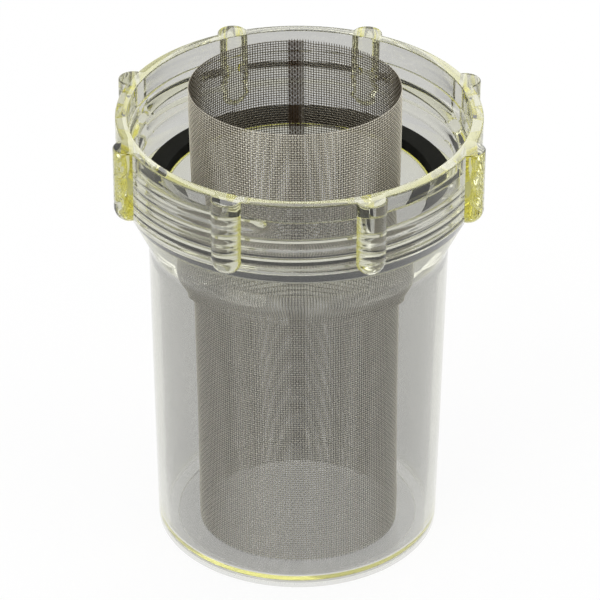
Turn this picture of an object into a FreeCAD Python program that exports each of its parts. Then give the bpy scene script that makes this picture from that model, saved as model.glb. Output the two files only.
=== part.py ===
import FreeCAD, Part
import math
import os
import Sketcher

# Sea water strainer: a clear moulded bowl with an internally threaded collar, the flat gasket on
# its ledge, and the rolled wire screen that stands in it.
# Millimetres, +Z up, origin at the centre of the bowl's foot, front towards -Y, screen seam at +Y.

os.makedirs("parts", exist_ok=True)
doc = FreeCAD.newDocument("sea_water_strainer")

# ---------------------------------------------------------------- driving dimensions
SIZES = [
    # bowl, from the mouth's bore outwards: lip, gasket seat, thread, lead-in, collar
    ("mouth_radius", 40.6, "bore through the lip"),
    ("lip_width", 0.6, "low lip round the mouth"),
    ("lip_height", 1.1, "lip above the ledge"),
    ("gasket_lip_gap", 0.15, "lip to the gasket's bore"),
    ("gasket_width", 6.3, "flat ring, inside to outside"),
    ("gasket_thickness", 4.2, "flat ring, height"),
    ("gasket_edge", 0.3, "softened upper edges of the ring"),
    ("gasket_thread_gap", 1.15, "gasket to the crest of the thread"),
    ("thread_depth", 2.8, "ridge, root to crest"),
    ("thread_base_width", 4.6, "ridge at its root"),
    ("thread_crest_width", 1.8, "ridge at its crest"),
    ("thread_pitch", 6.35, "climb in one turn"),
    ("thread_turns", 2.2, "length of the ridge in turns"),
    ("thread_start_angle", 190.0, "where the ridge starts, from +X"),
    ("thread_floor_gap", 2.53, "ledge to the lower edge of the ridge at its start"),
    ("thread_sink", 0.5, "how far the ridge's root lies inside the wall"),
    ("lead_in_step", 0.6, "plain lead-in wider than the thread's root"),
    ("lead_in_length", 7.0, "plain lead-in above the thread"),
    ("collar_wall", 3.7, "collar, lead-in to outside"),
    ("collar_foot_rise", 5.5, "foot of the collar's straight outside above the ledge"),
    # grip lobes
    ("lobe_count", 8, "grip lobes round the collar"),
    ("lobe_radius", 4.7, "half-round lobe"),
    ("lobe_sink", 0.6, "how far a lobe's centre lies inside the collar's skin"),
    ("lobe_foot_drop", 2.5, "lowest point of a lobe below the collar's foot"),
    # bowl, downwards: neck, body, floor and foot
    ("bowl_height", 145.6, "foot to rim"),
    ("mouth_length", 7.5, "straight bore below the ledge"),
    ("neck_length", 19.7, "taper outside, below the collar"),
    ("neck_round", 10.0, "hollow round where the taper meets the body"),
    ("bore_step", 2.1, "body's bore wider than the mouth's"),
    ("bore_top_drop", 19.5, "ledge to the top of the body's bore"),
    ("bore_draft", 1.0, "body's bore narrower at the floor than at its top"),
    ("body_wall_top", 3.7, "wall under the neck"),
    ("body_wall_base", 2.8, "wall at the foot"),
    ("floor_thickness", 3.2, "floor between foot and inside"),
    ("floor_round", 1.2, "inner edge of the floor"),
    ("foot_ring_width", 6.3, "ring that the bowl stands on"),
    ("foot_recess", 0.6, "hollow inside the foot ring"),
    ("foot_round", 0.8, "outer edge of the foot"),
    # screen
    ("screen_side_gap", 8.7, "screen to the mouth's bore, at each side"),
    ("screen_oval", 2.9, "screen's half width less its half depth"),
    ("screen_front_gap", 6.6, "screen to the mouth's bore, in front"),
    ("screen_stand_out", 11.9, "screen's upper edge above the bowl's rim"),
    ("screen_wall", 0.4, "wall between the ridges"),
    ("screen_ridge", 0.25, "how far hoops and bars stand off the wall"),
    ("screen_hoop_height", 3.4, "hoop between two rows of gaps"),
    ("screen_hoop_ridge", 1.7, "raised middle of a hoop"),
    ("screen_bar_width", 4.2, "upright bar between two gaps"),
    ("screen_bar_ridge", 1.7, "raised middle of an upright bar"),
    ("screen_rows", 10, "rows of gaps"),
    ("screen_columns", 12, "gaps round the tube"),
    ("screen_seam_width", 5.2, "upright strip where the sheet overlaps itself"),
]

sizes = doc.addObject("Spreadsheet::Sheet", "sizes")
for row, (alias, value, note) in enumerate(SIZES, start=1):
    sizes.set(f"A{row}", alias)
    sizes.set(f"B{row}", str(value))
    sizes.set(f"C{row}", note)
    sizes.setAlias(f"B{row}", alias)
doc.recompute()


def size(alias):
    """The sheet's value of one driving dimension."""
    return float(sizes.get(alias))


def bound(text):
    """An expression in which each driving dimension names its cell in the sheet."""
    words = text.replace("(", " ( ").replace(")", " ) ").split()
    return " ".join("sizes." + word if word in ALIASES else word for word in words)


ALIASES = {alias for alias, value, note in SIZES}


def value_of(text):
    """The number that such an expression has now, to draw a sketch near its final place."""
    words = text.replace("(", " ( ").replace(")", " ) ").split()
    out = []
    for word in words:
        out.append(repr(size(word)) if word in ALIASES else word)
    return work_out(out)


def work_out(words):
    """Add, take away, multiply and divide a list of words from left to right, brackets first."""
    while "(" in words:
        close = words.index(")")
        start = max(i for i in range(close) if words[i] == "(")
        words = words[:start] + [repr(work_out(words[start + 1:close]))] + words[close + 1:]
    total = 0.0
    sign = 1.0
    index = 0
    while index < len(words):
        if words[index] in "+-":
            sign = -1.0 if words[index] == "-" else 1.0
            index += 1
        term = float(words[index])
        index += 1
        while index < len(words) and words[index] in "*/":
            other = float(words[index + 1])
            term = term * other if words[index] == "*" else term / other
            index += 2
        total += sign * term
    return total


# ---------------------------------------------------------------- helpers
def plane_of(body, role):
    """One of the body's own origin planes or axes."""
    return next(f for f in body.Origin.OriginFeatures if f.Role == role)


def new_body(name):
    body = doc.addObject("PartDesign::Body", name)
    body.Label = name
    return body


def outline(body, name, points, turn=None):
    """A closed outline on the body's XZ plane; each corner's two coordinates are expressions.

    turn is the angle in degrees, an expression, by which the plane is turned about Z.
    """
    sketch = body.newObject("Sketcher::SketchObject", name)
    sketch.AttachmentSupport = (plane_of(body, "XZ_Plane"), [""])
    sketch.MapMode = "FlatFace"
    if turn is not None:
        sketch.AttachmentOffset = FreeCAD.Placement(
            FreeCAD.Vector(0, 0, 0), FreeCAD.Rotation(FreeCAD.Vector(0, 1, 0), value_of(turn))
        )
        sketch.setExpression(".AttachmentOffset.Rotation.Angle", bound(turn) + " * 1 deg")
    corners = [FreeCAD.Vector(value_of(x), value_of(y), 0) for x, y in points]
    count = len(corners)
    for i in range(count):
        sketch.addGeometry(Part.LineSegment(corners[i], corners[(i + 1) % count]), False)
    for i in range(count):
        sketch.addConstraint(Sketcher.Constraint("Coincident", i, 2, (i + 1) % count, 1))
    for i, (x, y) in enumerate(points):
        pin(sketch, "DistanceX", i, x)
        pin(sketch, "DistanceY", i, y)
    return sketch


def pin(sketch, kind, line, text):
    """Hold the start of a line at a distance, an expression, from the sketch's origin."""
    value = value_of(text)
    index = sketch.addConstraint(Sketcher.Constraint(kind, -1, 1, line, 1, value))
    sketch.setExpression(f"Constraints[{index}]", bound(text))


def revolve(body, name, sketch, kind="Revolution"):
    """The sketch turned all round Z, added to the body or, as a Groove, taken away."""
    turned = body.newObject("PartDesign::" + kind, name)
    turned.Profile = sketch
    turned.ReferenceAxis = (sketch, ["V_Axis"])
    turned.Angle = 360.0
    sketch.Visibility = False
    doc.recompute()
    return turned


def ring_edges(shape, rings):
    """Names of the full circles about Z with the given radius and height."""
    names = []
    for number, edge in enumerate(shape.Edges, start=1):
        if edge.Degenerated or not isinstance(edge.Curve, Part.Circle):
            continue
        for radius, height in rings:
            near = abs(edge.Curve.Radius - radius) < 0.01 and abs(edge.Curve.Center.z - height) < 0.01
            if near and abs(edge.Curve.Axis.z) > 0.99:
                names.append(f"Edge{number}")
    if len(names) < len(rings):
        raise RuntimeError(f"found {len(names)} of {len(rings)} edges to round")
    return names


def rounded(body, name, base, rings, radius):
    """A fillet of one radius on the named circles of the base feature."""
    fillet = body.newObject("PartDesign::Fillet", name)
    fillet.Base = (base, ring_edges(base.Shape, rings))
    fillet.Radius = size(radius)
    fillet.setExpression("Radius", bound(radius))
    doc.recompute()
    return fillet


def flat_sketch(body, name, height):
    """An empty sketch on the body's XY plane, raised by an expression."""
    sketch = body.newObject("Sketcher::SketchObject", name)
    sketch.AttachmentSupport = (plane_of(body, "XY_Plane"), [""])
    sketch.MapMode = "FlatFace"
    sketch.AttachmentOffset = FreeCAD.Placement(
        FreeCAD.Vector(0, 0, value_of(height)), FreeCAD.Rotation()
    )
    sketch.setExpression(".AttachmentOffset.Base.z", bound(height))
    return sketch


def pad(body, name, sketch, length):
    feature = body.newObject("PartDesign::Pad", name)
    feature.Profile = sketch
    feature.Length = value_of(length)
    feature.setExpression("Length", bound(length))
    sketch.Visibility = False
    doc.recompute()
    return feature


def around(body, name, feature, count):
    """The feature repeated evenly about Z."""
    pattern = body.newObject("PartDesign::PolarPattern", name)
    pattern.Originals = [feature]
    pattern.Axis = (plane_of(body, "Z_Axis"), [""])
    pattern.Angle = 360.0
    pattern.Occurrences = int(size(count))
    pattern.setExpression("Occurrences", bound(count))
    body.Tip = pattern
    doc.recompute()
    return pattern


# Radii and heights that more than one piece uses, as expressions of the driving dimensions.
LIP_RADIUS = "mouth_radius + lip_width"
GASKET_INNER = LIP_RADIUS + " + gasket_lip_gap"
GASKET_OUTER = GASKET_INNER + " + gasket_width"
THREAD_CREST = GASKET_OUTER + " + gasket_thread_gap"
THREAD_ROOT = THREAD_CREST + " + thread_depth"
COLLAR_BORE = THREAD_ROOT + " + lead_in_step"
COLLAR_OUTER = COLLAR_BORE + " + collar_wall"
BORE_TOP_RADIUS = "mouth_radius + bore_step"
BORE_BASE_RADIUS = BORE_TOP_RADIUS + " - bore_draft"
BODY_TOP_RADIUS = BORE_TOP_RADIUS + " + body_wall_top"
BODY_BASE_RADIUS = BORE_BASE_RADIUS + " + body_wall_base"
LOBE_CENTRE = COLLAR_OUTER + " - lobe_sink"

THREAD_TOP = "bowl_height - lead_in_length"
THREAD_START_FOOT = THREAD_TOP + " - thread_base_width - thread_pitch * thread_turns"
LEDGE = THREAD_START_FOOT + " - thread_floor_gap"
LIP_TOP = LEDGE + " + lip_height"
GASKET_TOP = LEDGE + " + gasket_thickness"
COLLAR_FOOT = LEDGE + " + collar_foot_rise"
NECK_FOOT = COLLAR_FOOT + " - neck_length"
MOUTH_FOOT = LEDGE + " - mouth_length"
BORE_TOP = LEDGE + " - bore_top_drop"
LOBE_DOME = COLLAR_FOOT + " - lobe_foot_drop + lobe_radius"

SCREEN_HALF_WIDTH = "mouth_radius - screen_side_gap"
SCREEN_HALF_DEPTH = SCREEN_HALF_WIDTH + " - screen_oval"
SCREEN_FORWARD = "screen_side_gap + screen_oval - screen_front_gap"
SCREEN_LENGTH = "bowl_height - floor_thickness + screen_stand_out"
ROW_PITCH = "( " + SCREEN_LENGTH + " - screen_hoop_height ) / screen_rows"
PAST_SCREEN = SCREEN_HALF_WIDTH + " + 5"
GAP_WIDTH = "2 * 3.1416 * ( " + SCREEN_HALF_DEPTH + " ) / screen_columns - screen_bar_width"


# ---------------------------------------------------------------- bowl
def make_bowl():
    """One moulding: foot, thin tapered wall, neck, collar with grip lobes, ledge, lip, thread."""
    body = new_body("strainer_bowl")
    outside = outline(body, "outside_section", [
        ("0", "foot_recess"),
        (BODY_BASE_RADIUS + " - foot_ring_width", "foot_recess"),
        (BODY_BASE_RADIUS + " - foot_ring_width", "0"),
        (BODY_BASE_RADIUS, "0"),
        (BODY_TOP_RADIUS, NECK_FOOT),
        (COLLAR_OUTER, COLLAR_FOOT),
        (COLLAR_OUTER, "bowl_height"),
        ("0", "bowl_height"),
    ])
    blank = revolve(body, "bowl_blank", outside)
    blank = rounded(body, "neck_hollow", blank,
                    [(value_of(BODY_TOP_RADIUS), value_of(NECK_FOOT))], "neck_round")
    rounded(body, "foot_edge", blank, [(value_of(BODY_BASE_RADIUS), 0.0)], "foot_round")
    add_lobes(body)

    inside = outline(body, "inside_section", [
        ("0", "bowl_height"),
        (COLLAR_BORE, "bowl_height"),
        (COLLAR_BORE, THREAD_TOP),
        (THREAD_ROOT, THREAD_TOP),
        (THREAD_ROOT, LEDGE),
        (LIP_RADIUS, LEDGE),
        (LIP_RADIUS, LIP_TOP),
        ("mouth_radius", LIP_TOP),
        ("mouth_radius", MOUTH_FOOT),
        (BORE_TOP_RADIUS, BORE_TOP),
        (BORE_BASE_RADIUS, "floor_thickness"),
        ("0", "floor_thickness"),
    ])
    hollow = revolve(body, "bowl_hollow", inside, kind="Groove")
    rounded(body, "floor_edge", hollow,
            [(value_of(BORE_BASE_RADIUS), size("floor_thickness"))], "floor_round")
    add_thread(body)
    return body


def add_lobes(body):
    """Half-round grip lobes with domed lower ends, spaced evenly, with the front between two.

    Each is a round bar with a round end, whose inner half the bowl's hollow then takes away.
    """
    sketch = body.newObject("Sketcher::SketchObject", "lobe_section")
    sketch.AttachmentSupport = (plane_of(body, "XZ_Plane"), [""])
    sketch.MapMode = "FlatFace"
    reach = "( " + bound(LOBE_CENTRE) + " )"
    sketch.setExpression(".AttachmentOffset.Base.x", reach + " * cos(180 deg / sizes.lobe_count)")
    sketch.setExpression(".AttachmentOffset.Base.z", "-" + reach + " * sin(180 deg / sizes.lobe_count)")
    radius = size("lobe_radius")
    dome = value_of(LOBE_DOME)
    rim = size("bowl_height")
    sketch.addGeometry([
        Part.LineSegment(FreeCAD.Vector(0, rim, 0), FreeCAD.Vector(0, dome - radius, 0)),
        Part.ArcOfCircle(
            Part.Circle(FreeCAD.Vector(0, dome, 0), FreeCAD.Vector(0, 0, 1), radius),
            1.5 * math.pi, 2.0 * math.pi,
        ),
        Part.LineSegment(FreeCAD.Vector(radius, dome, 0), FreeCAD.Vector(radius, rim, 0)),
        Part.LineSegment(FreeCAD.Vector(radius, rim, 0), FreeCAD.Vector(0, rim, 0)),
    ], False)
    for line in range(4):
        sketch.addConstraint(Sketcher.Constraint("Coincident", line, 2, (line + 1) % 4, 1))
    sketch.addConstraint([
        Sketcher.Constraint("PointOnObject", 0, 1, -2),
        Sketcher.Constraint("PointOnObject", 1, 3, -2),
        Sketcher.Constraint("Vertical", 0),
        Sketcher.Constraint("Vertical", 2),
        Sketcher.Constraint("Horizontal", 3),
        Sketcher.Constraint("Horizontal", 1, 3, 1, 2),
    ])
    for kind, elements, text in (
        ("DistanceY", (-1, 1, 0, 1), "bowl_height"),
        ("DistanceY", (-1, 1, 1, 3), LOBE_DOME),
        ("Radius", (1,), "lobe_radius"),
    ):
        held = sketch.addConstraint(Sketcher.Constraint(kind, *elements, value_of(text)))
        sketch.setExpression(f"Constraints[{held}]", bound(text))
    doc.recompute()
    lobe = revolve(body, "grip_lobe", sketch)
    around(body, "grip_lobes", lobe, "lobe_count")


def add_thread(body):
    """One ridge, a trapezium carried up the collar's wall along a right-hand helix."""
    flank = "( thread_base_width - thread_crest_width ) / 2"
    ridge = outline(body, "thread_section", [
        (THREAD_ROOT + " + thread_sink", THREAD_START_FOOT),
        (THREAD_CREST, THREAD_START_FOOT + " + " + flank),
        (THREAD_CREST, THREAD_START_FOOT + " + thread_crest_width + " + flank),
        (THREAD_ROOT + " + thread_sink", THREAD_START_FOOT + " + thread_base_width"),
    ], turn="thread_start_angle")
    thread = body.newObject("PartDesign::AdditiveHelix", "collar_thread")
    thread.Profile = ridge
    thread.ReferenceAxis = (ridge, ["V_Axis"])
    thread.Mode = "pitch-turns-angle"
    thread.Pitch = size("thread_pitch")
    thread.Turns = size("thread_turns")
    thread.setExpression("Pitch", bound("thread_pitch"))
    thread.setExpression("Turns", bound("thread_turns"))
    thread.LeftHanded = False
    ridge.Visibility = False
    doc.recompute()


bowl = make_bowl()


# ---------------------------------------------------------------- gasket
def make_gasket():
    """Flat rubber ring, lying on the ledge round the lip."""
    body = new_body("gasket")
    section = outline(body, "gasket_section", [
        (GASKET_INNER, LEDGE),
        (GASKET_OUTER, LEDGE),
        (GASKET_OUTER, GASKET_TOP),
        (GASKET_INNER, GASKET_TOP),
    ])
    ring = revolve(body, "gasket_ring", section)
    top = value_of(GASKET_TOP)
    rounded(body, "gasket_edges", ring,
            [(value_of(GASKET_INNER), top), (value_of(GASKET_OUTER), top)], "gasket_edge")
    return body


gasket = make_gasket()


# ---------------------------------------------------------------- screen
def add_oval(sketch, inset):
    """A centred ellipse, the screen's outside less an inset, held by its two diameters."""
    half_width = SCREEN_HALF_WIDTH + " - ( " + inset + " )"
    half_depth = SCREEN_HALF_DEPTH + " - ( " + inset + " )"
    wide = value_of(half_width)
    deep = value_of(half_depth)
    index = sketch.addGeometry(Part.Ellipse(FreeCAD.Vector(0, 0, 0), wide, deep), False)
    sketch.exposeInternalGeometry(index)
    sketch.addConstraint(Sketcher.Constraint("Coincident", index, 3, -1, 1))
    sketch.addConstraint(Sketcher.Constraint("Horizontal", index + 1))
    for line, text in ((index + 1, half_width), (index + 2, half_depth)):
        held = sketch.addConstraint(Sketcher.Constraint("Distance", line, 2 * value_of(text)))
        sketch.setExpression(f"Constraints[{held}]", "2 * ( " + bound(text) + " )")
    return sketch


def add_box(sketch, left, low, right, high):
    """A rectangle in a sketch from four expressions."""
    corners = [(left, low), (right, low), (right, high), (left, high)]
    first = sketch.GeometryCount
    places = [FreeCAD.Vector(value_of(x), value_of(y), 0) for x, y in corners]
    for i in range(4):
        sketch.addGeometry(Part.LineSegment(places[i], places[(i + 1) % 4]), False)
    for i in range(4):
        sketch.addConstraint(Sketcher.Constraint("Coincident", first + i, 2, first + (i + 1) % 4, 1))
    for i, (x, y) in enumerate(corners):
        pin(sketch, "DistanceX", first + i, x)
        pin(sketch, "DistanceY", first + i, y)
    return sketch


def pocket_through(body, name, sketch, length):
    """A pocket upwards from the sketch, longer than the screen."""
    feature = body.newObject("PartDesign::Pocket", name)
    feature.Profile = sketch
    feature.Reversed = True
    feature.Length = value_of(length)
    feature.setExpression("Length", bound(length))
    sketch.Visibility = False
    doc.recompute()
    return feature


def make_screen():
    """One oval wall of woven wire: ridges for the wires and a grid of gaps, lapped at the back."""
    body = new_body("mesh_screen")
    body.Placement = FreeCAD.Placement(
        FreeCAD.Vector(0, -value_of(SCREEN_FORWARD), size("floor_thickness")), FreeCAD.Rotation()
    )
    body.setExpression(".Placement.Base.y", "-( " + bound(SCREEN_FORWARD) + " )")
    body.setExpression(".Placement.Base.z", bound("floor_thickness"))

    pad(body, "screen_skin", add_oval(flat_sketch(body, "skin_outline", "0"), "screen_ridge"),
        SCREEN_LENGTH)

    bar_sketch = flat_sketch(body, "bar_outline", "0")
    add_box(bar_sketch, "0 - screen_bar_ridge / 2", "0", "screen_bar_ridge / 2", PAST_SCREEN)
    bar = pad(body, "screen_bar", bar_sketch, SCREEN_LENGTH)
    around(body, "screen_bars", bar, "screen_columns")

    lap_sketch = flat_sketch(body, "lap_outline", "0")
    add_box(lap_sketch, "0 - screen_seam_width / 2", "0", "screen_seam_width / 2", PAST_SCREEN)
    pad(body, "screen_lap", lap_sketch, SCREEN_LENGTH)

    hoop_low = "screen_hoop_height / 2 - screen_hoop_ridge / 2"
    hoop = pad(body, "screen_hoop", add_oval(flat_sketch(body, "hoop_outline", hoop_low), "0"),
               "screen_hoop_ridge")
    hoops = body.newObject("PartDesign::LinearPattern", "screen_hoops")
    hoops.Originals = [hoop]
    hoops.Direction = (plane_of(body, "Z_Axis"), [""])
    hoops.Length = value_of(SCREEN_LENGTH + " - screen_hoop_height")
    hoops.setExpression("Length", bound(SCREEN_LENGTH + " - screen_hoop_height"))
    hoops.Occurrences = int(size("screen_rows")) + 1
    hoops.setExpression("Occurrences", bound("screen_rows + 1"))
    body.Tip = hoops
    doc.recompute()

    trim_sketch = add_oval(flat_sketch(body, "trim_outline", "0 - 1"), "0")
    add_box(trim_sketch, "0 - ( " + PAST_SCREEN + " )", "0 - ( " + PAST_SCREEN + " )",
            PAST_SCREEN, PAST_SCREEN)
    pocket_through(body, "screen_trim", trim_sketch, SCREEN_LENGTH + " + 2")
    bore_sketch = add_oval(flat_sketch(body, "bore_outline", "0 - 1"), "screen_ridge + screen_wall")
    pocket_through(body, "screen_bore", bore_sketch, SCREEN_LENGTH + " + 2")

    gap_sketch = body.newObject("Sketcher::SketchObject", "gap_outline")
    gap_sketch.AttachmentSupport = (plane_of(body, "XZ_Plane"), [""])
    gap_sketch.MapMode = "FlatFace"
    turn = 90.0 - 180.0 / size("screen_columns")
    gap_sketch.AttachmentOffset = FreeCAD.Placement(
        FreeCAD.Vector(0, 0, 0), FreeCAD.Rotation(FreeCAD.Vector(0, 1, 0), turn)
    )
    gap_sketch.setExpression(".AttachmentOffset.Rotation.Angle", "90 deg - 180 deg / sizes.screen_columns")
    for row in range(int(size("screen_rows"))):
        low = f"screen_hoop_height + {row} * " + ROW_PITCH
        add_box(gap_sketch, "0 - ( " + GAP_WIDTH + " ) / 2", low, "( " + GAP_WIDTH + " ) / 2",
                low + " + " + ROW_PITCH + " - screen_hoop_height")
    gap = body.newObject("PartDesign::Pocket", "screen_gap")
    gap.Profile = gap_sketch
    gap.Reversed = True
    gap.Length = value_of(PAST_SCREEN)
    gap.setExpression("Length", bound(PAST_SCREEN))
    gap_sketch.Visibility = False
    doc.recompute()
    around(body, "screen_gaps", gap, "screen_columns")
    return body


screen = make_screen()
doc.recompute()

# ---------------------------------------------------------------- check and write
SUB_PARTS = [bowl, gasket, screen]

for thing in doc.Objects:
    if "Invalid" in thing.State or "Error" in thing.State:
        raise RuntimeError(f"{thing.Name} did not recompute: {thing.State}")
for thing in SUB_PARTS:
    if thing.Shape.isNull() or not thing.Shape.isValid():
        raise RuntimeError(f"{thing.Label} has no valid shape")
    if len(thing.Shape.Solids) != 1:
        raise RuntimeError(f"{thing.Label} has {len(thing.Shape.Solids)} solids, not 1")
    thing.Shape.exportStep(f"parts/{thing.Label}.step")
    print(thing.Label, round(thing.Shape.Volume), "mm3", len(thing.Shape.Faces), "faces")
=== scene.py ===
# %% [markdown]
# # A sea water strainer in clear plastic and woven wire
# The strainer is a moulded bowl that screws up into a head on a boat's cooling line. A flat rubber
# gasket lies on a ledge inside its collar, and a rolled wire screen stands in it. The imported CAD
# solids give every size and place. This lesson dresses them: the bowl is rebuilt as one smooth
# surface that light can bend through, the gasket gets its soft edges, and the screen is woven wire
# by wire.

# %% Load the frame
import math

import bpy
import numpy as np
from mathutils import Matrix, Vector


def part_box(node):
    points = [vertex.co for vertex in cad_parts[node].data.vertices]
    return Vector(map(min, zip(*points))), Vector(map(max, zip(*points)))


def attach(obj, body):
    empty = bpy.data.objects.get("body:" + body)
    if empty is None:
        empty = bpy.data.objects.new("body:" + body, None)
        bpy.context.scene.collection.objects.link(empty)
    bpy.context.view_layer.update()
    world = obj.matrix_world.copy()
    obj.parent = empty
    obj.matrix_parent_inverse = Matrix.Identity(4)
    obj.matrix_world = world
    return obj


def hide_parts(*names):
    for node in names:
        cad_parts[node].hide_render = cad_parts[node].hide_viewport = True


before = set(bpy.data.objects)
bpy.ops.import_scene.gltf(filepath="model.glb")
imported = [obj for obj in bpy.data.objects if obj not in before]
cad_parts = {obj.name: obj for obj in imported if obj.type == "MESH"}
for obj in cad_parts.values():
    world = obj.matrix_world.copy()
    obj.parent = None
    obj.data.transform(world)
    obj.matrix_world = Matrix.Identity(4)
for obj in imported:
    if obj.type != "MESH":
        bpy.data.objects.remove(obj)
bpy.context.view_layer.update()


MM = 0.001
print("CAD nodes:", sorted(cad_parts))

# %% [markdown]
# ## Sizes
# The CAD boxes give the heights and the widest radii. The rest are the bowl's own sizes in
# millimetres, with the names that its source uses, so each surface below can be read against the
# solid that it stands for.

# %% Sizes of the bowl
_, bowl_high = (np.array(c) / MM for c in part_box("strainer_bowl"))
gasket_low, gasket_high = (np.array(c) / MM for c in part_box("gasket"))
screen_low, screen_high = (np.array(c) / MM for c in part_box("mesh_screen"))

RIM = bowl_high[2]
COLLAR_OUTER = bowl_high[0]
COLLAR_WALL = 3.7
COLLAR_BORE = COLLAR_OUTER - COLLAR_WALL
LEAD_IN_STEP = 0.6
LEAD_IN_LENGTH = 7.0
THREAD_ROOT = COLLAR_BORE - LEAD_IN_STEP
THREAD_DEPTH = 2.8
THREAD_PITCH = 6.35
THREAD_TURNS = 2.2
THREAD_BASE = 4.6
THREAD_TIP = 1.8
THREAD_START = math.radians(190.0)
THREAD_TOP = RIM - LEAD_IN_LENGTH
LEDGE = gasket_low[2]
LIP_HEIGHT = 1.1
LIP_WIDTH = 0.6
LIP_TOP = LEDGE + LIP_HEIGHT
MOUTH = 40.6
LIP_RADIUS = MOUTH + LIP_WIDTH
MOUTH_LENGTH = 7.5
BORE_TOP_DROP = 19.5
COLLAR_FOOT_RISE = 5.5
COLLAR_FOOT = LEDGE + COLLAR_FOOT_RISE
NECK_LENGTH = 19.7
NECK_FOOT = COLLAR_FOOT - NECK_LENGTH
NECK_ROUND = 10.0
LOBES = 8
LOBE_RADIUS = 4.7
LOBE_INSET = 0.6
LOBE_CENTRE = COLLAR_OUTER - LOBE_INSET
LOBE_FOOT_DROP = 2.5
LOBE_FOOT = COLLAR_FOOT - LOBE_FOOT_DROP
BODY_TOP = 46.4
BODY_BASE = 44.5
BORE_TOP = 42.7
BORE_BASE = 41.7
FLOOR = screen_low[2]
FOOT_RECESS = 0.6
FOOT_RING_WIDTH = 6.3
FOOT_RING = BODY_BASE - FOOT_RING_WIDTH
print(f"bowl {RIM:.1f} mm high, collar {2 * COLLAR_OUTER:.1f} mm across, ledge at {LEDGE:.1f} mm")

# %% [markdown]
# ## Camera
# A long lens from the front and above, as a product is usually shown. The camera is placed by its
# elevation and its distance from an aim point on the bowl's axis, with a hair of roll. It comes
# first, so that every later step can be looked at from the right place.

# %% Camera
LENS = 242.23
DISTANCE = 1259.54
ELEVATION = math.radians(32.195)
AIM_HEIGHT = 78.55
ROLL = 0.0057
SHIFT = 0.00277


def place_camera():
    """Camera matrix: the view direction from the elevation, turned about itself by the roll."""
    forward = np.array([0.0, math.cos(ELEVATION), -math.sin(ELEVATION)])
    level = np.array([1.0, 0.0, 0.0])
    raised = np.cross(level, forward)
    right = math.cos(ROLL) * level + math.sin(ROLL) * raised
    up = -math.sin(ROLL) * level + math.cos(ROLL) * raised
    place = np.array([0.0, 0.0, AIM_HEIGHT]) - DISTANCE * forward
    matrix = np.eye(4)
    matrix[:3, 0] = right
    matrix[:3, 1] = up
    matrix[:3, 2] = -forward
    matrix[:3, 3] = place * MM
    camera = bpy.data.objects.new("camera", bpy.data.cameras.new("camera"))
    camera.data.lens = LENS
    camera.data.shift_x = SHIFT
    camera.data.clip_end = 50.0
    camera.matrix_world = Matrix(matrix.tolist())
    bpy.context.scene.collection.objects.link(camera)
    bpy.context.scene.camera = camera
    return camera


camera = place_camera()
print("camera at", [round(v, 3) for v in camera.location])

# %% [markdown]
# ## From arrays to meshes
# Every new surface here is a grid: rows of points along a profile, columns round the axis. A grid
# is computed as one numpy array and handed to Blender in one call. Rows that close on the axis, or
# that lie on top of each other, are merged afterwards, so that the skin has no doubled points.


# %% Grid helpers
def link(name, mesh):
    """A new object at the origin, in the scene, holding the mesh."""
    piece = bpy.data.objects.new(name, mesh)
    bpy.context.scene.collection.objects.link(piece)
    return piece


def mesh_from(name, points, faces):
    """A mesh from an N x 3 array in millimetres and an array of corner numbers per face."""
    mesh = bpy.data.meshes.new(name)
    mesh.vertices.add(len(points))
    mesh.vertices.foreach_set("co", (np.asarray(points) * MM).ravel())
    corners_per_face = faces.shape[1]
    mesh.loops.add(faces.size)
    mesh.loops.foreach_set("vertex_index", faces.ravel().astype(np.int32))
    mesh.polygons.add(len(faces))
    starts = np.arange(0, faces.size, corners_per_face, dtype=np.int32)
    mesh.polygons.foreach_set("loop_start", starts)
    mesh.update(calc_edges=True)
    mesh.validate()
    mesh.shade_smooth()
    return mesh


def merge_grid(points, quads, step=1e-4):
    """Points within a ten-thousandth of a millimetre become one; faces left without area go."""
    keys = np.round(points / step).astype(np.int64)
    _, first, number = np.unique(keys, axis=0, return_index=True, return_inverse=True)
    quads = number.reshape(-1)[quads]
    points = points[first]
    a, b, c, d = quads.T
    tris = np.concatenate([np.stack([a, b, c], 1), np.stack([a, c, d], 1)])
    good = (tris[:, 0] != tris[:, 1]) & (tris[:, 1] != tris[:, 2]) & (tris[:, 2] != tris[:, 0])
    return points, tris[good]


def grid_quads(rows, columns, lift=0):
    """Corner numbers of a grid closed round its columns.

    Point (row, column) has number row * columns + column. The last column joins the first one,
    lift rows higher, as a helix does.
    """
    row, column = np.meshgrid(np.arange(rows - 1), np.arange(columns), indexing="ij")
    right = (column + 1) % columns
    climb = np.where(column == columns - 1, lift, 0)
    low = np.clip(row + climb, 0, rows - 1)
    high = np.clip(row + 1 + climb, 0, rows - 1)
    corners_ = [row * columns + column, low * columns + right,
                high * columns + right, (row + 1) * columns + column]
    return np.stack(corners_, -1).reshape(-1, 4)


def round_corner(before, corner, after, radius, steps):
    """The arc of a given radius that is tangent to both sides of a profile's corner."""
    before, corner, after = (np.array(p, float) for p in (before, corner, after))
    u = (before - corner) / np.linalg.norm(before - corner)
    v = (after - corner) / np.linalg.norm(after - corner)
    half = math.acos(np.clip(np.dot(u, v), -1, 1)) / 2
    middle = corner + (u + v) / np.linalg.norm(u + v) * radius / math.sin(half)
    first = corner + u * radius / math.tan(half) - middle
    last = corner + v * radius / math.tan(half) - middle
    turn = math.atan2(first[0] * last[1] - first[1] * last[0], np.dot(first, last))
    angle = math.atan2(first[1], first[0]) + np.linspace(0, turn, steps + 1)
    return np.stack([middle[0] + radius * np.cos(angle), middle[1] + radius * np.sin(angle)], 1)


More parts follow.
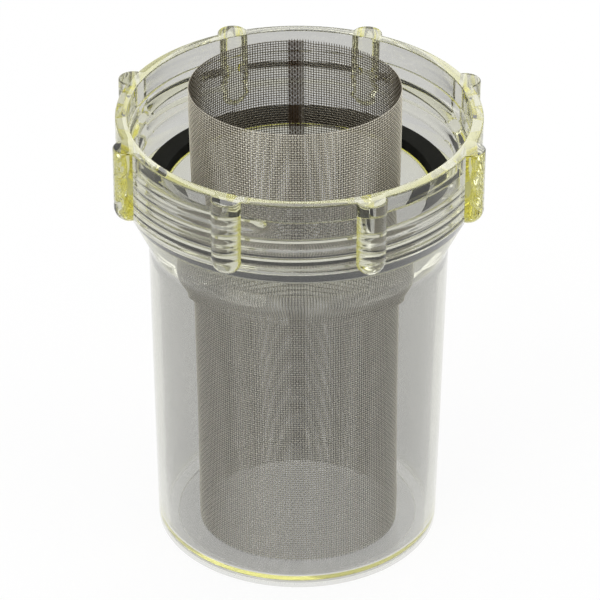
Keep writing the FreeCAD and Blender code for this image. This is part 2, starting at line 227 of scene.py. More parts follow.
def profile(*stops):
    """A profile of (radius, height) points; a stop (point, radius, steps) is rounded there."""
    plain = [stop[0] if len(stop) == 3 else stop for stop in stops]
    pieces = []
    for number, stop in enumerate(stops):
        if len(stop) == 3:
            pieces.append(round_corner(plain[number - 1], stop[0], plain[number + 1], *stop[1:]))
        else:
            pieces.append(np.array([stop], float))
    return np.concatenate(pieces)


print("grid helpers ready")

# %% [markdown]
# ## The bowl's outside
# In plan the collar is a circle with eight half-round lobes on it. Moulders draw that as arcs, and
# so does this outline: twelve columns follow each lobe's own arc, and thirty-six follow the plain
# arc to the next. Towards a lobe's foot its radius shrinks as a ball's section does, which gives
# the domed end. Where there are no lobes, the same columns lie on a plain circle.

# %% Plan of the collar
LOBE_STEPS = 12
PLAIN_STEPS = 36


def plan(circle, lobe):
    """Angle and radius of every column, for a circle with round lobes of one radius on it.

    A lobe's point at arc angle a is its centre plus lobe * (cos a, sin a). The lobe starts where
    that point is on the circle: cos a = (circle^2 - centre^2 - lobe^2) / (2 * centre * lobe).
    """
    cosine = (circle**2 - LOBE_CENTRE**2 - lobe**2) / (2 * LOBE_CENTRE * lobe)
    widest = math.acos(np.clip(cosine, -1, 1))
    a = np.linspace(-widest, widest, LOBE_STEPS + 1)
    x = LOBE_CENTRE + lobe * np.cos(a)
    y = lobe * np.sin(a)
    on_lobe = np.arctan2(y, x)
    pitch = 2 * math.pi / LOBES
    between = np.linspace(on_lobe[-1], pitch + on_lobe[0], PLAIN_STEPS + 1)[1:-1]
    angle = np.concatenate([on_lobe, between])
    radius = np.concatenate([np.hypot(x, y), np.full(PLAIN_STEPS - 1, circle)])
    middle = pitch * (np.arange(LOBES)[:, None] + 0.5)
    return (angle[None, :] + middle).ravel(), np.tile(radius, LOBES)


PLAN_ANGLE = plan(COLLAR_OUTER, LOBE_RADIUS)[0]
COLUMNS = len(PLAN_ANGLE)
print("columns round the bowl:", COLUMNS)

# %% Rows of the outside, from the middle of the foot to the rim
RIM_ROUND = 0.45


def ring(radius, height):
    """One row of the bowl on a plain circle."""
    return np.stack([radius * np.cos(PLAN_ANGLE), radius * np.sin(PLAN_ANGLE),
                     np.full(COLUMNS, height)], 1)


def lobed(circle, lobe, height):
    """One row of the bowl on the circle with lobes."""
    angle, radius = plan(circle, lobe)
    return np.stack([radius * np.cos(angle), radius * np.sin(angle), np.full(COLUMNS, height)], 1)


def outside_rows():
    """Foot, body, neck with its hollow round, collar, domed lobe ends and the rounded rim.

    A lobe's foot is a ball: at height z its radius is sqrt(R^2 - (middle - z)^2). The rows that
    cross it take the circle under it from the plain profile, which is the neck's cone and then
    the collar.
    """
    plain = profile(
        (0.0, FOOT_RECESS), (12.0, FOOT_RECESS), (24.0, FOOT_RECESS),
        ((FOOT_RING - 0.2, FOOT_RECESS), 0.3, 3), ((FOOT_RING, 0.0), 0.2, 3),
        ((BODY_BASE, 0.0), 0.8, 6), (BODY_BASE + 0.63, NECK_FOOT / 3), (BODY_BASE + 1.27, NECK_FOOT / 1.5),
        ((BODY_TOP, NECK_FOOT), NECK_ROUND, 12), ((COLLAR_OUTER, COLLAR_FOOT), 0.8, 5),
        (COLLAR_OUTER, RIM),
    )
    rows = [ring(radius, height) for radius, height in plain if height < LOBE_FOOT]
    under = np.interp(LOBE_FOOT, plain[-12:, 1], plain[-12:, 0])
    middle_ = LOBE_FOOT + LOBE_RADIUS
    first = math.asin(1.25 * abs(LOBE_CENTRE - under) / LOBE_RADIUS)
    dome = middle_ - LOBE_RADIUS * np.cos(np.linspace(first, math.pi / 2, 11))
    corner = plain[(plain[:, 1] > dome[0] + 0.1) & (plain[:, 1] < middle_ - 0.1), 1]
    heights = np.unique(np.concatenate([dome, corner]))
    circles = np.interp(heights, plain[-12:, 1], plain[-12:, 0])
    lobes = np.sqrt(LOBE_RADIUS**2 - np.clip(middle_ - heights, 0, None) ** 2)
    foot_row = lobed(circles[0], lobes[0], LOBE_FOOT)
    flat = foot_row[:, :2] / np.linalg.norm(foot_row[:, :2], axis=1)[:, None] * under
    rows.append(np.column_stack([flat, foot_row[:, 2]]))
    rows += [lobed(*stop) for stop in zip(circles, lobes, heights)]
    for turn in np.radians(np.linspace(0, 90, 5)):
        inset = RIM_ROUND * (1 - math.cos(turn))
        rows.append(lobed(COLLAR_OUTER - inset, LOBE_RADIUS - inset,
                          RIM - RIM_ROUND * (1 - math.sin(turn))))
    return rows


outside = outside_rows()
print("outside rows:", len(outside))

# %% [markdown]
# ## The bowl's inside and its thread
# The thread is one ridge that climbs the collar's wall for a little over two turns. Straight rows
# of points would cut across its slanting edges and fray them, so here the rows climb with the
# ridge: every row rises by one pitch in a turn, and its last column joins the first column of the
# row one pitch higher. Rows that would leave the threaded stretch are held at its ends. The
# ridge's section is a trapezium with softened corners, and it fades in and out at its two ends.

# %% Thread
ROWS_PER_PITCH = 26
FADE = math.radians(9.0)
RIDGE_EASE = 0.5


def ridge_section(across):
    """Height of the ridge, 0 to 1, at a distance across it: a trapezium with rounded corners.

    The flank is a straight ramp from the base's half width to the tip's, eased at both ends.
    """
    ramp = (THREAD_BASE / 2 - np.abs(across)) / (THREAD_BASE / 2 - THREAD_TIP / 2)
    ease = RIDGE_EASE
    soft = np.where(ramp < ease, 0.5 * np.maximum(ramp + ease, 0) ** 2 / (2 * ease), ramp)
    top = 1 - soft
    soft = np.where(top < ease, 1 - 0.5 * np.maximum(top + ease, 0) ** 2 / (2 * ease), soft)
    return np.clip(soft, 0, 1)


def smooth(x):
    """0 below 0, 1 above 1, and 3x^2 - 2x^3 between."""
    x = np.clip(x, 0, 1)
    return x * x * (3 - 2 * x)


def thread_rows():
    """Rows that climb with the ridge, top row first: radius = root - depth * section * fade."""
    across = np.linspace(-0.5, 0.5, ROWS_PER_PITCH, endpoint=False) * THREAD_PITCH
    turn = np.arange(-2, 4)
    first_middle = THREAD_TOP - THREAD_BASE / 2 - THREAD_PITCH * THREAD_TURNS
    climbed = (PLAN_ANGLE - THREAD_START) / (2 * math.pi)
    along = turn[:, None, None] + climbed[None, None, :] + 0 * across[None, :, None]
    height = first_middle + along * THREAD_PITCH + across[None, :, None]
    fade = smooth(along * 2 * math.pi / FADE) * smooth((THREAD_TURNS - along) * 2 * math.pi / FADE)
    radius = THREAD_ROOT - THREAD_DEPTH * ridge_section(across)[None, :, None] * fade
    height = np.clip(height, LEDGE + 0.25, THREAD_TOP)
    x = radius * np.cos(PLAN_ANGLE)
    y = radius * np.sin(PLAN_ANGLE)
    rows = np.stack([x, y, height], -1).reshape(-1, COLUMNS, 3)
    return rows[::-1]


thread = thread_rows()
print("thread rows:", len(thread))

# %% [markdown]
# ## The plain parts of the inside
# Above the thread there is a plain lead-in, and below it the ledge, its low lip, the mouth, and the
# thin body's bore. They are turned shapes, so a rounded profile gives one level row per point.

# %% Rows of the inside, from the rim to the middle of the floor


def inside_top():
    """Rounded inner edge of the rim, plain lead-in, and the step down to the thread's root."""
    line = profile(
        (COLLAR_BORE + 1.5, RIM), ((COLLAR_BORE, RIM), 0.35, 4),
        ((COLLAR_BORE, THREAD_TOP), 0.25, 3), (THREAD_ROOT + 0.15, THREAD_TOP),
    )
    return [ring(radius, height) for radius, height in line[1:]]


def inside_bottom():
    """Ledge, lip, mouth, and the thin body's bore down to the rounded edge of the floor."""
    line = profile(
        (THREAD_ROOT, LEDGE + 2.0), ((THREAD_ROOT, LEDGE), 0.25, 3),
        ((LIP_RADIUS, LEDGE), 0.15, 2), ((LIP_RADIUS, LIP_TOP), 0.2, 3),
        ((MOUTH, LIP_TOP), 0.25, 3), ((MOUTH, LEDGE - MOUTH_LENGTH), 2.0, 4),
        ((BORE_TOP, LEDGE - BORE_TOP_DROP), 4.0, 4),
        (BORE_TOP - 0.33, LEDGE / 2), (BORE_TOP - 0.67, LEDGE / 4),
        ((BORE_BASE, FLOOR), 1.2, 6), (24.0, FLOOR), (12.0, FLOOR), (0.0, FLOOR),
    )
    return [ring(radius, height) for radius, height in line[1:]]


# %% [markdown]
# ## One skin for the bowl
# Light has to go in through one face and out through another, so the bowl can't be a pile of
# parts. All the rows, outside and inside, are laced into a single closed surface.


# %% Bowl
def bowl_mesh():
    """The outside, the rim's flat top, and the inside, laced into one closed skin."""
    above = outside + inside_top()
    below = inside_bottom()
    points = np.concatenate([np.array(above), thread, np.array(below)]).reshape(-1, 3)
    last_above = len(above)
    thread_end = last_above + len(thread)
    every = grid_quads(last_above + len(thread) + len(below), COLUMNS)
    row_of = every[:, 0] // COLUMNS
    plain = every[(row_of < last_above) | (row_of >= thread_end - 1)]
    climb = grid_quads(len(thread), COLUMNS, -ROWS_PER_PITCH) + last_above * COLUMNS
    points, faces = merge_grid(points, np.concatenate([plain, climb]))
    mesh = mesh_from("strainer_bowl_moulding", points, faces)
    mesh.set_sharp_from_angle(angle=math.radians(38.0))
    return mesh


bowl = link("bowl_moulding", bowl_mesh())
print("bowl:", len(bowl.data.vertices), "points,", len(bowl.data.polygons), "triangles")

# %% [markdown]
# ## The gasket
# A flat ring punched from black rubber sheet. Its upper and lower edges are slightly soft, so they
# catch a thin line of light. It is a profile with four small rounds, turned about the axis.


# %% Gasket
def turned(name, line, columns):
    """A closed profile turned about Z: x = r cos a, y = r sin a, z as in the profile."""
    angle = np.linspace(0, 2 * math.pi, columns, endpoint=False)
    rows = np.stack([line[:, :1] * np.cos(angle), line[:, :1] * np.sin(angle),
                     line[:, 1:] + 0 * angle], -1)
    points, faces = merge_grid(rows.reshape(-1, 3), grid_quads(len(line), columns))
    return mesh_from(name, points, faces)


def gasket_line():
    """Section of the flat ring, its corners rounded, wound so that its faces point outwards."""
    inner = LIP_RADIUS + 0.15
    outer = gasket_high[0]
    low, high = gasket_low[2] + 0.02, gasket_high[2]
    middle = (inner + outer) / 2
    return profile(
        (middle, low), ((outer, low), 0.25, 3), ((outer, high), 0.35, 4),
        ((inner, high), 0.35, 4), ((inner, low), 0.25, 3), (middle, low),
    )


gasket = link("gasket_ring", turned("gasket_ring", gasket_line(), 256))
print("gasket:", len(gasket.data.polygons), "triangles")

# %% [markdown]
# ## The screen
# The screen is a sheet of square-woven wire, rolled into an upright oval tube and lapped along a
# seam at the back. Each wire goes over one crossing wire and under the next. So a wire is a tube
# with one short length per crossing, pushed outwards at one crossing and inwards at the next. Four
# sides are enough for a wire 0.29 mm thick.
#
# The sheet's own coordinate runs along the oval from one end of the sheet to the other, past a full
# turn, and the lapped end is stepped outwards to lie on the first one.

# %% The rolled sheet
WIRE = 0.145
WIRE_PITCH = 0.819
LAP = 4.9
LAP_STEP = 0.72
SEAM_X = 2.62
SCREEN_Y = (screen_low[1] + screen_high[1]) / 2
SCREEN_WIDE = (screen_high[0] - screen_low[0]) / 2 - 2 * WIRE
SCREEN_DEEP = (screen_high[1] - screen_low[1]) / 2 - 2 * WIRE
LEAN_FOOT = 0.4
LEAN_TOP = -1.36
FOOT_SHARE = 0.976
TOP_GROWTH = 0.038
OPENS_FROM = 80.0
OPENS_OVER = 75.0
LAP_RAMP = 3.0


def oval_table():
    """Length along the oval against the angle, found by adding up short chords."""
    angle = np.linspace(0, 2 * math.pi, 4001)
    x = SCREEN_WIDE * np.cos(angle)
    y = SCREEN_DEEP * np.sin(angle)
    length = np.concatenate([[0], np.cumsum(np.hypot(np.diff(x), np.diff(y)))])
    return angle, length


OVAL_ANGLE, OVAL_LENGTH = oval_table()
ROUND = OVAL_LENGTH[-1]
print(f"round the oval: {ROUND:.1f} mm")


# %% Points on the sheet
def sheet_points(along, height, lift):
    """Points of the rolled sheet at lengths along it, heights, and lifts off it.

    along is the length from the sheet's first end, at the seam, against the clock seen from above.
    The lapped stretch past a full turn lies LAP_STEP further out, after a short ramp. The free
    upper end has opened a little, and the whole screen leans two thirds of a degree to one side:
    the oval grows from 0.976 to 1.014 of its size, and shifts in a straight line from the foot's
    place to the top's.
    """
    seam = np.interp(math.acos(SEAM_X / SCREEN_WIDE), OVAL_ANGLE, OVAL_LENGTH)
    angle = np.interp((seam + along) % ROUND, OVAL_LENGTH, OVAL_ANGLE)
    out_x = np.cos(angle) / SCREEN_WIDE
    out_y = np.sin(angle) / SCREEN_DEEP
    size = np.hypot(out_x, out_y)
    far = lift + LAP_STEP * smooth((along - ROUND + LAP_RAMP) / LAP_RAMP)
    open_ = FOOT_SHARE + TOP_GROWTH * smooth((height - OPENS_FROM) / OPENS_OVER)
    share = (height - screen_low[2]) / (screen_high[2] - screen_low[2])
    lean = LEAN_FOOT + (LEAN_TOP - LEAN_FOOT) * share
    return np.stack([SCREEN_WIDE * open_ * np.cos(angle) + far * out_x / size + lean,
                     SCREEN_Y + SCREEN_DEEP * open_ * np.sin(angle) + far * out_y / size,
                     height], -1)


SHEET = ROUND + LAP
UPRIGHTS = int(SHEET / WIRE_PITCH) + 1
HOOPS = int((screen_high[2] - screen_low[2] - 0.5) / WIRE_PITCH) + 1
ALONG = (np.arange(UPRIGHTS) + 0.5) * (SHEET / UPRIGHTS)
HEIGHT = screen_high[2] - 0.25 - (HOOPS - 1 - np.arange(HOOPS)) * WIRE_PITCH
print(f"sheet {SHEET:.1f} mm long, {UPRIGHTS} uprights, {HOOPS} hoops")


# %% [markdown]
# ## Weaving the wires
# Real wire cloth is woven flat and rolled afterwards. Here each wire is worked out on the flat
# sheet, with its bends, and the sheet's own function rolls it. All the wires of one direction are
# one array, so several hundred tubes cost no more code than one.


# %% Weaving
def store(mesh, name, values):
    """A number per point, kept in the mesh for the material to read."""
    layer = mesh.attributes.new(name, "FLOAT", "POINT")
    layer.data.foreach_set("value", np.asarray(values, np.float32).ravel())


def tubes(name, along, height, lift):
    """Four-sided tubes along many paths at once, with two numbers kept at every point.

    The arrays are wires x points. Each point carries a square: centre + WIRE * (cos, sin) of 45,
    135, 225 and 315 degrees, first outwards and then in the sheet. off_sheet is the distance
    outwards from the sheet's middle over two wire radii: 1 on an outer crest, -1 on an inner one
    and 0 where wires touch. seam_heat is 1 on the strip that was welded.
    """
    wires, stops = along.shape
    centre = sheet_points(along, height, lift)
    side = sheet_points(along, height, lift + 1.0) - centre
    ahead = np.gradient(centre, axis=1)
    ahead /= np.linalg.norm(ahead, axis=2, keepdims=True)
    up = np.cross(ahead, side)
    up /= np.linalg.norm(up, axis=2, keepdims=True)
    across = np.cross(up, ahead)
    turn = np.radians([45.0, 135.0, 225.0, 315.0])[None, None, :, None]
    rings = centre[:, :, None] + WIRE * (np.cos(turn) * across[:, :, None] + np.sin(turn) * up[:, :, None])
    wire, stop, corner = np.meshgrid(np.arange(wires), np.arange(stops - 1), np.arange(4), indexing="ij")
    beside = (corner + 1) % 4

    def number(stop_, corner_):
        return (wire * stops + stop_) * 4 + corner_

    quads = np.stack([number(stop, corner), number(stop, beside),
                      number(stop + 1, beside), number(stop + 1, corner)], -1).reshape(-1, 4)
    first = (np.arange(wires) * stops * 4)[:, None]
    caps = np.concatenate([first + np.array([3, 2, 1, 0]), first + 4 * (stops - 1) + np.arange(4)])
    mesh = mesh_from(name, rings.reshape(-1, 3), np.concatenate([quads, caps]))
    # The wire material paints its highlight and its shade from off_sheet.
    store(mesh, "off_sheet", (lift[:, :, None] + WIRE * np.cos(turn[..., 0])) / (2 * WIRE))
    from_end = np.where(along > SHEET / 2, along - ROUND, along)
    heat = smooth((from_end - 1.0) / 0.4) * smooth((LAP + 0.3 - from_end) / 0.4)
    store(mesh, "seam_heat", np.repeat(heat[:, :, None], 4, 2))
    return mesh


def uprights(name, first, last):
    """Upright wires of one share of the sheet, over and under the hoops in turn."""
    wires = np.arange(first, last)
    height = np.concatenate([[screen_low[2]], HEIGHT, [screen_high[2]]])
    sign = np.where((wires[:, None] + np.arange(HOOPS)[None, :]) % 2, 1.0, -1.0)
    lift = WIRE * np.pad(sign, ((0, 0), (1, 1)))
    along = np.repeat(ALONG[wires][:, None], HOOPS + 2, 1)
    return tubes(name, along, np.repeat(height[None, :], len(wires), 0), lift)


def hoops(name, first, last, reach=UPRIGHTS):
    """Level wires of one share of the height, from the first end across so many uprights."""
    wires = np.arange(first, last)
    end = SHEET if reach == UPRIGHTS else ALONG[reach - 1] + 0.4
    along = np.concatenate([[0.0], ALONG[:reach], [end]])
    sign = np.where((wires[:, None] + np.arange(reach)[None, :]) % 2, -1.0, 1.0)
    lift = WIRE * np.pad(sign, ((0, 0), (1, 1)))
    height = np.repeat(HEIGHT[wires][:, None], reach + 2, 1)
    return tubes(name, np.repeat(along[None, :], len(wires), 0), height, lift)


FRINGE_LENGTH = 36.0
FRINGE = int(FRINGE_LENGTH / WIRE_PITCH)
screen_pieces = [
    link("screen_uprights_1", uprights("screen_uprights_1", 0, UPRIGHTS // 2)),
    link("screen_uprights_2", uprights("screen_uprights_2", UPRIGHTS // 2, UPRIGHTS)),
    link("screen_hoops_1", hoops("screen_hoops_1", 0, HOOPS // 2)),
    link("screen_hoops_2", hoops("screen_hoops_2", HOOPS // 2, HOOPS - 1)),
    link("screen_top_wire", hoops("screen_top_wire", HOOPS - 1, HOOPS, UPRIGHTS - FRINGE)),
]
for piece in screen_pieces:
    print(piece.name, 2 * len(piece.data.polygons), "triangles")

# %% [markdown]
# ## Fine grain, a shared effect
# No moulded or punched surface is perfectly even. Rubber has a fine grain, a moulding has long
# faint flow marks, and a weld stain is patchy. All three are noise, so one shader group holds it,
# and each finish sets its own stretch, scale and depth.


# %% Material helpers
def new_material(name):
    """A material with only a Principled shader, and its node tree."""
    material = bpy.data.materials.new(name)
    material.use_nodes = True
    return material, material.node_tree


def add(tree, kind, **inputs):
    """A node of a kind, with plain values put on its named inputs."""
    node = tree.nodes.new(kind)
    for label, value in inputs.items():
        node.inputs[label.replace("_", " ")].default_value = value
    return node


def join(tree, start, end):
    """A link from an output to an input."""
    tree.links.new(start, end)


# %% Fine grain group
GRAIN_RISE = 0.0001


def grain_group():
    """Shader group: noise in object space, out as a value and as the normal of a shallow bump.

    The place is multiplied by Stretch before the noise of the given Scale is read, so that the
    marks can be drawn out along one axis. Depth is the bump's strength.
    """
    group = bpy.data.node_groups.new("fine_grain", "ShaderNodeTree")
    for label, way, kind in (("Stretch", "INPUT", "Vector"), ("Scale", "INPUT", "Float"),
                             ("Depth", "INPUT", "Float"), ("Value", "OUTPUT", "Float"),
                             ("Normal", "OUTPUT", "Vector")):
        group.interface.new_socket(label, in_out=way, socket_type="NodeSocket" + kind)
    given = group.nodes.new("NodeGroupInput")
    result = group.nodes.new("NodeGroupOutput")
    place = group.nodes.new("ShaderNodeTexCoord")
    drawn = group.nodes.new("ShaderNodeVectorMath")
    drawn.operation = "MULTIPLY"
    noise = add(group, "ShaderNodeTexNoise", Detail=4.0, Roughness=0.55)
    bump = add(group, "ShaderNodeBump", Distance=GRAIN_RISE)
    for start, end in (
        (place.outputs["Object"], drawn.inputs[0]), (given.outputs["Stretch"], drawn.inputs[1]),
        (drawn.outputs[0], noise.inputs["Vector"]), (given.outputs["Scale"], noise.inputs["Scale"]),
        (noise.outputs["Fac"], bump.inputs["Height"]), (given.outputs["Depth"], bump.inputs["Strength"]),
        (noise.outputs["Fac"], result.inputs["Value"]), (bump.outputs[0], result.inputs["Normal"]),
    ):
        join(group, start, end)
    return group


GRAIN = grain_group()


def fine_grain(tree, stretch, scale, depth):
    """The grain group with its three settings, put into a material."""
    node = tree.nodes.new("ShaderNodeGroup")
    node.node_tree = GRAIN
    node.inputs["Stretch"].default_value = stretch
    node.inputs["Scale"].default_value = scale
    node.inputs["Depth"].default_value = depth
    return node


def blend_colour(tree, share, low, high):
    """A colour that goes from low to high with share."""
    mix = tree.nodes.new("ShaderNodeMix")
    mix.data_type = "RGBA"
    for socket, value in ((mix.inputs[6], low), (mix.inputs[7], high)):
        if isinstance(value, tuple):
            socket.default_value = (*value, 1.0)
        else:
            join(tree, value, socket)
    join(tree, share, mix.inputs[0])
    return mix.outputs[2]


print("shader group:", GRAIN.name)

# %% [markdown]
# ## Clear plastic
# The bowl is clear and faintly yellow. On a real moulding the yellow comes from the depth of plastic that
# light crosses, so it shows in the thick lobes, in the foot and along edges, and hardly in the thin wall.
# Volume absorption does exactly that. The grey is painted shade in the surface's tint, standing in for a
# darker surround seen through the walls; it varies a little along upright flow marks with a very shallow
# bump. Lamps shine through the plastic without a hard shadow.

# %% Clear plastic material
PLASTIC_INDEX = 1.57
# The two greys are painted shade for a darker surround seen through the walls; the flow marks blend
# between them.
PLASTIC_PAINTED_GREY = (0.64, 0.64, 0.648)
PLASTIC_PAINTED_GREY_DEEP = (0.58, 0.58, 0.585)
PLASTIC_DEPTH_COLOUR = (0.92, 0.90, 0.06, 1.0)
PLASTIC_DENSITY = 13.0
FLOW_STRETCH = (1.0, 1.0, 0.2)
FLOW_SCALE = 90.0
FLOW_DEPTH = 0.08


def clear_plastic():
    """Glass shader with painted grey shade in its tint, volume absorption for the yellow depth, and clear
    to the lamps' rays.
    """
    material, tree = new_material("clear_plastic")
    shader = tree.nodes["Principled BSDF"]
    flow = fine_grain(tree, FLOW_STRETCH, FLOW_SCALE, FLOW_DEPTH)
    # Painted shade: the grey base colour stands in for a darker surround, varied by the flow marks.
    painted_grey = blend_colour(tree, flow.outputs["Value"], PLASTIC_PAINTED_GREY_DEEP, PLASTIC_PAINTED_GREY)
    join(tree, painted_grey, shader.inputs["Base Color"])
    join(tree, flow.outputs["Normal"], shader.inputs["Normal"])
    shader.inputs["Roughness"].default_value = 0.0
    shader.inputs["IOR"].default_value = PLASTIC_INDEX
    shader.inputs["Transmission Weight"].default_value = 1.0
    output = tree.nodes["Material Output"]
    rays = add(tree, "ShaderNodeLightPath")
    open_way = add(tree, "ShaderNodeBsdfTransparent")
    choose = add(tree, "ShaderNodeMixShader")
    join(tree, rays.outputs["Is Shadow Ray"], choose.inputs[0])
    join(tree, shader.outputs[0], choose.inputs[1])
    join(tree, open_way.outputs[0], choose.inputs[2])
    join(tree, choose.outputs[0], output.inputs["Surface"])
    depth = add(tree, "ShaderNodeVolumeAbsorption", Color=PLASTIC_DEPTH_COLOUR, Density=PLASTIC_DENSITY)
    join(tree, depth.outputs[0], output.inputs["Volume"])
    return material


# %% [markdown]
# ## Rubber and wire
# Black rubber is nearly without colour or shine. The wire is one metal with three looks: a painted
# highlight on its outer crests, painted shade on its inner side and where it dips under a crossing wire,
# and brown where the seam was welded. The weave kept two numbers at every point for this, so the painted
# light and the weld stain follow the wires wherever they go.

# %% Rubber and wire materials
RUBBER_BLACK = (0.004, 0.004, 0.0035)
RUBBER_DUST = (0.012, 0.0125, 0.0105)
# Painted light on the wire: painted shade on its inner side and where wires touch, a painted highlight on
# its outer crests.
WIRE_PAINTED_SHADE = (0.16, 0.14, 0.105)
WIRE_PAINTED_HIGHLIGHT = (0.98, 0.93, 0.80)
WIRE_SCORCH = (0.035, 0.02, 0.008)
WIRE_STAIN = (0.10, 0.06, 0.028)
PAINTED_HIGHLIGHT_FROM = 0.05
PAINTED_HIGHLIGHT_TO = 0.65
EVEN = (1.0, 1.0, 1.0)


def black_rubber():
    """Matt black rubber with a fine grain and a little dust-grey variation."""
    material, tree = new_material("black_rubber")
    shader = tree.nodes["Principled BSDF"]
    grain = fine_grain(tree, EVEN, 900.0, 0.25)
    tone = blend_colour(tree, grain.outputs["Value"], RUBBER_BLACK, RUBBER_DUST)
    join(tree, tone, shader.inputs["Base Color"])
    join(tree, grain.outputs["Normal"], shader.inputs["Normal"])
    shader.inputs["Roughness"].default_value = 0.75
    shader.inputs["Specular IOR Level"].default_value = 0.12
    return material


def stored(tree, name):
    """The number per point that a mesh keeps under a name."""
    node = tree.nodes.new("ShaderNodeAttribute")
    node.attribute_name = name
    return node.outputs["Fac"]


def steel_wire():
    """Drawn stainless wire: a painted highlight on its outer crests, painted shade on its inner side,
    brown at the seam.
    """
    material, tree = new_material("steel_wire")
    shader = tree.nodes["Principled BSDF"]
    shader.inputs["Metallic"].default_value = 1.0
    shader.inputs["Roughness"].default_value = 0.42
    # Painted light: this mask runs from painted shade on the wire's inner side and crossings to a painted
    # highlight on its outer crests.
    crest = add(tree, "ShaderNodeMapRange")
    crest.inputs["From Min"].default_value = PAINTED_HIGHLIGHT_FROM
    crest.inputs["From Max"].default_value = PAINTED_HIGHLIGHT_TO
    join(tree, stored(tree, "off_sheet"), crest.inputs["Value"])
    painted_highlight_and_shade = blend_colour(tree, crest.outputs[0], WIRE_PAINTED_SHADE, WIRE_PAINTED_HIGHLIGHT)
    patch = fine_grain(tree, EVEN, 420.0, 0.0)
    stain = blend_colour(tree, patch.outputs["Value"], WIRE_SCORCH, WIRE_STAIN)
    join(tree, blend_colour(tree, stored(tree, "seam_heat"), painted_highlight_and_shade, stain), shader.inputs["Base Color"])
    return material


bowl.data.materials.append(clear_plastic())
gasket.data.materials.append(black_rubber())
wire_material = steel_wire()
for piece in screen_pieces:
    piece.data.materials.append(wire_material)
print("materials:", [m.name for m in bpy.data.materials])

# %% [markdown]
# ## Stage and light
# A plain pale floor, a pale world, and soft lamps. The background is white because the world and
# the floor show as white to the camera, to mirrors and to clear pieces, and not because more light
# falls on the object. The floor keeps part of its own shading, so the strainer still stands on a
# soft shadow.

# %% World
AMBIENT = 0.75
CEILING = 0.55
CEILING_FROM = 0.15
CEILING_TO = 0.75
FLOOR_SEEN = 0.88
FLOOR_THROUGH = 0.45


def largest(tree, *outputs):
    """The largest of some values."""
    result = outputs[0]
    for other in outputs[1:]:
        node = tree.nodes.new("ShaderNodeMath")
        node.operation = "MAXIMUM"
        join(tree, result, node.inputs[0])
        join(tree, other, node.inputs[1])
        result = node.outputs[0]
    return result


def pale_world():
    """White where it is seen, a greyer ceiling above, and a plain grey light on all else."""
    world = bpy.data.worlds.new("studio")
    bpy.context.scene.world = world
    world.use_nodes = True
    tree = world.node_tree
    back = tree.nodes["Background"]
    place = add(tree, "ShaderNodeTexCoord")
    split = add(tree, "ShaderNodeSeparateXYZ")
    join(tree, place.outputs["Generated"], split.inputs[0])
    rise = add(tree, "ShaderNodeMapRange")
    rise.inputs["From Min"].default_value = CEILING_FROM
    rise.inputs["From Max"].default_value = CEILING_TO
    join(tree, split.outputs["Z"], rise.inputs["Value"])
    seen = blend_colour(tree, rise.outputs[0], (1.0, 1.0, 1.0), (CEILING, CEILING, CEILING))
    rays = add(tree, "ShaderNodeLightPath")
    looks = largest(tree, rays.outputs["Is Camera Ray"], rays.outputs["Is Glossy Ray"],
                    rays.outputs["Is Transmission Ray"])
    join(tree, blend_colour(tree, looks, (AMBIENT, AMBIENT, AMBIENT), seen), back.inputs["Color"])


def share_of(tree, output, amount):
    """A value times an amount."""
    node = tree.nodes.new("ShaderNodeMath")
    node.operation = "MULTIPLY"
    node.inputs[1].default_value = amount
    join(tree, output, node.inputs[0])
    return node.outputs[0]


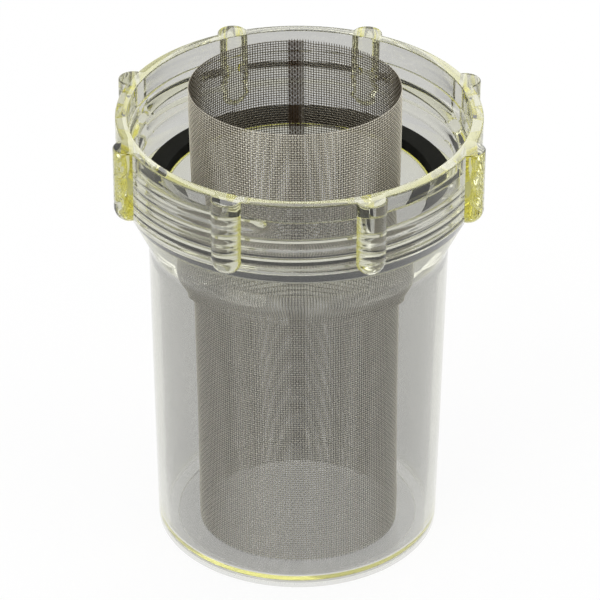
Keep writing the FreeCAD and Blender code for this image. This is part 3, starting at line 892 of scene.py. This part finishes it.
def pale_floor():
    """A wide floor: mostly white as seen, with its own shading and shadow mixed in."""
    size = 3000.0
    points = np.array([[-size, -size, 0], [size, -size, 0], [size, size, 0], [-size, size, 0]])
    floor = link("floor", mesh_from("floor", points, np.array([[0, 1, 2, 3]])))
    material, tree = new_material("floor_paper")
    shader = tree.nodes["Principled BSDF"]
    shader.inputs["Base Color"].default_value = (0.9, 0.9, 0.9, 1)
    shader.inputs["Roughness"].default_value = 0.9
    shader.inputs["Specular IOR Level"].default_value = 0.0
    white = add(tree, "ShaderNodeEmission", Color=(1, 1, 1, 1), Strength=1.0)
    rays = add(tree, "ShaderNodeLightPath")
    share = largest(tree, share_of(tree, rays.outputs["Is Camera Ray"], FLOOR_SEEN),
                    share_of(tree, rays.outputs["Is Glossy Ray"], FLOOR_SEEN),
                    share_of(tree, rays.outputs["Is Transmission Ray"], FLOOR_THROUGH))
    mix = add(tree, "ShaderNodeMixShader")
    join(tree, share, mix.inputs[0])
    join(tree, shader.outputs[0], mix.inputs[1])
    join(tree, white.outputs[0], mix.inputs[2])
    join(tree, mix.outputs[0], tree.nodes["Material Output"].inputs["Surface"])
    floor.data.materials.append(material)
    return floor


pale_world()
floor = pale_floor()
print("world and floor ready")


# %% [markdown]
# ## Lamps
# Three square lamps, large and near, give soft gloss: a key from the left, a fill from the right
# and one behind, which lights the edges of the clear rim.


# %% Lamps
def lamp(name, place, aim, size, power):
    """A square soft lamp at a place, in metres, facing a point."""
    light = bpy.data.lights.new(name, "AREA")
    light.size = size
    light.energy = power
    holder = bpy.data.objects.new(name, light)
    away = np.array(place, float) - np.array(aim, float)
    z = away / np.linalg.norm(away)
    x = np.cross([0.0, 0.0, 1.0], z)
    x /= np.linalg.norm(x)
    y = np.cross(z, x)
    matrix = np.eye(4)
    matrix[:3, 0], matrix[:3, 1], matrix[:3, 2], matrix[:3, 3] = x, y, z, place
    holder.matrix_world = Matrix(matrix.tolist())
    bpy.context.scene.collection.objects.link(holder)
    return holder


middle = (0.0, 0.0, RIM / 2 * MM)
lamp("key", (-0.7, -0.6, 1.0), middle, 0.7, 5.0)
lamp("fill", (0.9, -0.4, 0.7), middle, 0.6, 2.5)
lamp("back", (0.2, 0.9, 0.8), middle, 0.6, 2.5)
print("lamps:", len(bpy.data.lights))

# %% [markdown]
# ## View settings
# Light crosses the bowl's walls, its thread and hundreds of wires. With the usual number of
# bounces those paths are cut off and turn black, so they are allowed to go on for longer.

# %% View settings
BOUNCES = 96
CLEAR_BOUNCES = 64
scene = bpy.context.scene
scene.view_settings.view_transform = "Standard"
scene.cycles.max_bounces = BOUNCES
scene.cycles.transmission_bounces = BOUNCES
scene.cycles.glossy_bounces = BOUNCES
scene.cycles.transparent_max_bounces = CLEAR_BOUNCES
print("light paths of up to", BOUNCES, "bounces")

# %% [markdown]
# ## Hand over
# Each new piece rides on the CAD body and hides the CAD node that it stands for.

# %% Finish
for piece, node, slot in [(bowl, "strainer_bowl", "clear_plastic"), (gasket, "gasket", "black_rubber")]:
    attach(piece, "root")
    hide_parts(node)
for piece in screen_pieces:
    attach(piece, "root")
    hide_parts("mesh_screen")
